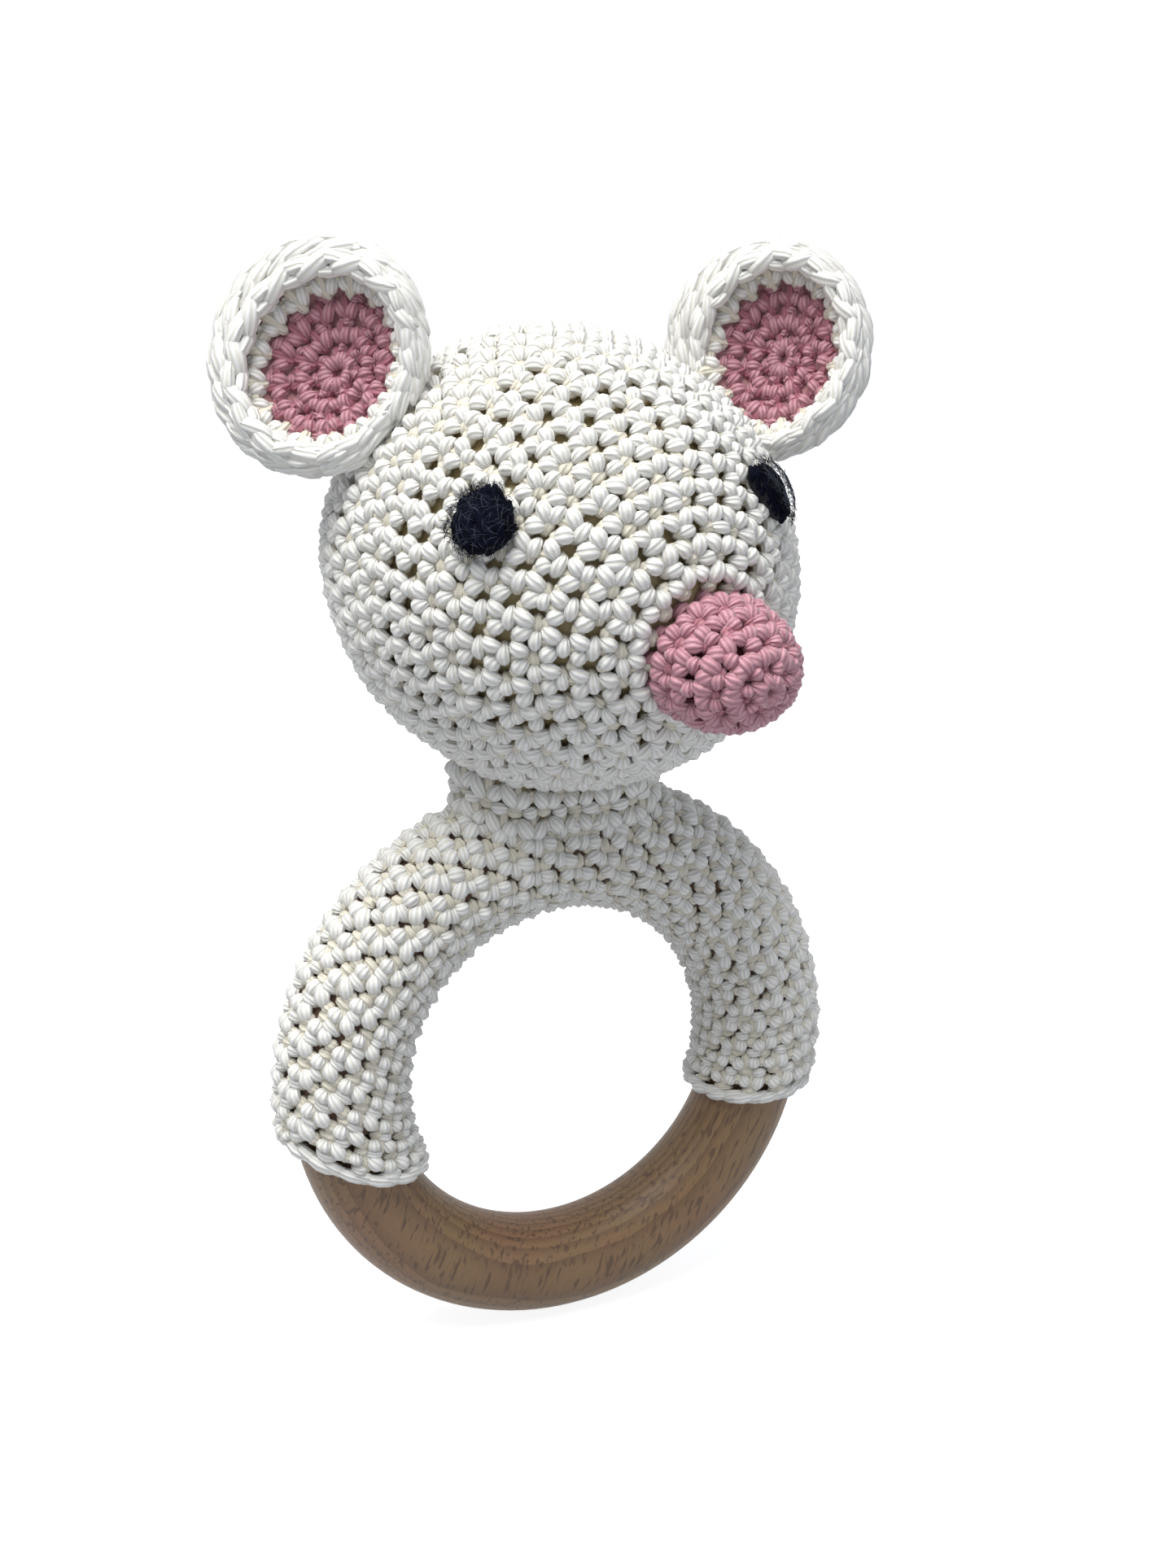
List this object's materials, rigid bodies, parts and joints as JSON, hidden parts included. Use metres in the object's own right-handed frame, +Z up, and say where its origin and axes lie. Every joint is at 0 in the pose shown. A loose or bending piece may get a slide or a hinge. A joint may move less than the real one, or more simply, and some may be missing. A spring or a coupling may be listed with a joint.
{
  "type": "crocheted mouse rattle on a teething ring",
  "caption": "Wooden teething ring with a crocheted sleeve over its upper part and a stuffed mouse head with cupped ears and a rattle capsule inside.",
  "frame": {"origin": "centre of the wooden ring", "axes": "+Z up from the ring's centre to the head, -Y the way the mouse looks, +Y along the ring's axis, +X the mouse's own left"},
  "size_m": [0.0781, 0.0681, 0.1356],
  "materials": {
    "beech": "sanded beech, rubbed with oil or wax, satin",
    "white_yarn": "white mercerised cotton yarn, single crochet",
    "pink_yarn": "dusty pink mercerised cotton yarn, single crochet",
    "navy_wool": "navy-black fuzzy wool, embroidered",
    "stuffing": "loose white fibre filling",
    "capsule_plastic": "plain moulded plastic",
    "pellet_plastic": "plain moulded plastic"
  },
  "bodies": {
    "toy": {"sleeve": "white_yarn", "sleeve_edge_left": "white_yarn", "sleeve_edge_right": "white_yarn", "neck_collar": "white_yarn", "head_cover": "white_yarn", "snout_cover": "pink_yarn", "head_stuffing": "stuffing", "rattle_shell_lower": "capsule_plastic", "rattle_shell_upper": "capsule_plastic", "ear_left_centre": "pink_yarn", "ear_left_cup": "white_yarn", "ear_left_rim": "white_yarn", "ear_right_centre": "pink_yarn", "ear_right_cup": "white_yarn", "ear_right_rim": "white_yarn", "eye_left": "navy_wool", "eye_right": "navy_wool"},
    "ring": {"wooden_ring": "beech"},
    "pellet_a": {"pellet_1": "pellet_plastic"},
    "pellet_b": {"pellet_2": "pellet_plastic"},
    "pellet_c": {"pellet_3": "pellet_plastic"},
    "pellet_d": {"pellet_4": "pellet_plastic"},
    "pellet_e": {"pellet_5": "pellet_plastic"}
  },
  "joints": [
    {"name": "ring_turn", "type": "hinge", "parent": "toy", "child": "ring", "pos_m": [0, 0, 0], "axis": [0, 1, 0], "continuous": true},
    {"name": "pellet_a_fall", "type": "slide", "parent": "toy", "child": "pellet_a", "axis": [0, 0, 1], "range_m": [0, 0.0164]},
    {"name": "pellet_b_fall", "type": "slide", "parent": "toy", "child": "pellet_b", "axis": [0, 0, 1], "range_m": [0, 0.0164]},
    {"name": "pellet_c_fall", "type": "slide", "parent": "toy", "child": "pellet_c", "axis": [0, 0, 1], "range_m": [0, 0.0164]},
    {"name": "pellet_d_fall", "type": "slide", "parent": "toy", "child": "pellet_d", "axis": [0, 0, 1], "range_m": [0, 0.0164]},
    {"name": "pellet_e_fall", "type": "slide", "parent": "toy", "child": "pellet_e", "axis": [0, 0, 1], "range_m": [0, 0.0164]}
  ]
}
